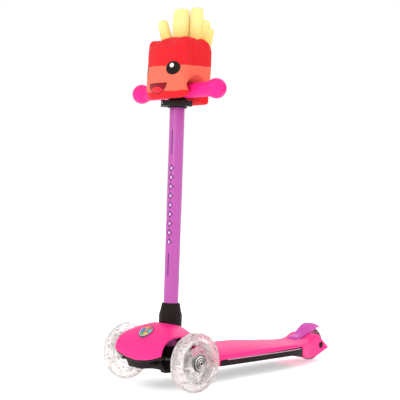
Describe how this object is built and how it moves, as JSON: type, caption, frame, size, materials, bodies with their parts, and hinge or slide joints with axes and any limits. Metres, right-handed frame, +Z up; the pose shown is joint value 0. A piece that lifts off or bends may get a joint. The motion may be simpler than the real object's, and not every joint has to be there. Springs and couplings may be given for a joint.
{
  "type": "kick scooter",
  "caption": "Child's lean-to-steer kick scooter with a telescopic T-bar, clear glitter wheels, rear fender brake and a plush fries box on the handlebar.",
  "frame": {"origin": "middle of the bounding box, on the ground", "axes": "+Z up, -Y forwards (the way the scooter rides), +X to the rider's left"},
  "size_m": [0.266, 0.571, 0.7739],
  "materials": {
    "pink_plastic": "semi-gloss moulded pink plastic",
    "black_plastic": "fine-textured black plastic",
    "grey_trim": "light grey plastic trim",
    "steel": "bright zinc-plated steel",
    "spring_steel": "bare spring steel",
    "purple_paint": "satin purple powder coat",
    "purple_plastic": "semi-gloss purple plastic",
    "aluminium": "drawn and anodised",
    "pink_rubber": "soft pink thermoplastic rubber, knurled",
    "red_plush": "short-pile plush in red and coral",
    "yellow_plush": "short-pile yellow plush",
    "clear_plastic": "clear glittery polyurethane",
    "chrome": "polished metal cap"
  },
  "bodies": {
    "deck": {"deck_cover": "pink_plastic", "deck_base": "black_plastic", "front_housing": "pink_plastic", "front_base": "black_plastic", "deck_trim_left": "grey_trim", "deck_trim_right": "grey_trim", "base_screw_left": "steel", "base_screw_right": "steel", "kingpin_left": "steel", "kingpin_right": "steel", "lean_pin_front": "steel", "lean_pin_rear": "steel", "centring_spring_left": "spring_steel", "centring_spring_right": "spring_steel", "rear_axle": "steel", "brake_pin": "steel", "brake_spring": "spring_steel"},
    "tbar": {"steering_block": "black_plastic", "stem_collar": "black_plastic", "outer_stem": "purple_paint", "stem_bush": "black_plastic", "clamp_collar": "black_plastic", "clamp_bolt": "steel", "clamp_nut": "steel", "cam_pin": "steel"},
    "handlebar": {"inner_stem": "aluminium", "stem_joint": "black_plastic", "handlebar_tube": "steel", "grip_left": "pink_rubber", "grip_right": "pink_rubber", "plush_body": "red_plush", "plush_fries": "yellow_plush"},
    "lever": {"clamp_lever": "black_plastic"},
    "steering_rod": {"tie_rod": "steel"},
    "brake": {"brake_fender": "purple_plastic"},
    "wheel_rear": {"rear_tyre": "clear_plastic", "rear_core": "clear_plastic", "rear_bearing_left": "steel", "rear_bearing_right": "steel"},
    "knuckle_left": {"knuckle_left": "black_plastic", "axle_bolt_left": "steel"},
    "wheel_left": {"front_tyre_left": "clear_plastic", "front_core_left": "clear_plastic", "outer_bearing_left": "steel", "inner_bearing_left": "steel", "light_ring_left": "clear_plastic", "hub_cap_left": "chrome"},
    "knuckle_right": {"knuckle_right": "black_plastic", "axle_bolt_right": "steel"},
    "wheel_right": {"front_tyre_right": "clear_plastic", "front_core_right": "clear_plastic", "outer_bearing_right": "steel", "inner_bearing_right": "steel", "light_ring_right": "clear_plastic", "hub_cap_right": "chrome"}
  },
  "joints": [
    {"name": "tbar_lean", "type": "hinge", "parent": "deck", "child": "tbar", "pos_m": [0, -0.1929, 0.092], "axis": [0, 1, 0], "range_deg": [-8, 8], "stiffness_Nm_per_rad": 40, "deforming": ["centring_spring_left", "centring_spring_right"]},
    {"name": "tie_rod_slide", "type": "slide", "parent": "deck", "child": "steering_rod", "axis": [1, 0, 0], "range_m": [-0.0057, 0.0057]},
    {"name": "left_steer", "type": "hinge", "parent": "deck", "child": "knuckle_left", "pos_m": [0.07, -0.2195, 0.06], "axis": [0, 0, 1], "range_deg": [-13, 13]},
    {"name": "right_steer", "type": "hinge", "parent": "deck", "child": "knuckle_right", "pos_m": [-0.07, -0.2195, 0.06], "axis": [0, 0, 1], "range_deg": [-13, 13]},
    {"name": "left_wheel_spin", "type": "hinge", "parent": "knuckle_left", "child": "wheel_left", "pos_m": [0.105, -0.2195, 0.06], "axis": [1, 0, 0], "continuous": true},
    {"name": "right_wheel_spin", "type": "hinge", "parent": "knuckle_right", "child": "wheel_right", "pos_m": [-0.105, -0.2195, 0.06], "axis": [1, 0, 0], "continuous": true},
    {"name": "rear_wheel_spin", "type": "hinge", "parent": "deck", "child": "wheel_rear", "pos_m": [0, 0.2455, 0.038], "axis": [1, 0, 0], "continuous": true},
    {"name": "brake_press", "type": "hinge", "parent": "deck", "child": "brake", "pos_m": [0, 0.1905, 0.053], "axis": [-1, 0, 0], "range_deg": [0, 5], "stiffness_Nm_per_rad": 1.5, "springref_deg": -4.58},
    {"name": "height_adjust", "type": "slide", "parent": "tbar", "child": "handlebar", "axis": [0, 0.0454, 0.999], "range_m": [0, 0.15]},
    {"name": "clamp_lever", "type": "hinge", "parent": "tbar", "child": "lever", "pos_m": [-0.01096, -0.19938, 0.5808], "axis": [0, -0.0454, -0.999], "range_deg": [0, 110]}
  ],
  "couplings": [
    {"joint": "tie_rod_slide", "follows": "tbar_lean", "m_per_rad": -0.0405},
    {"joint": "left_steer", "follows": "tbar_lean", "ratio": 1.62},
    {"joint": "right_steer", "follows": "tbar_lean", "ratio": 1.62}
  ]
}
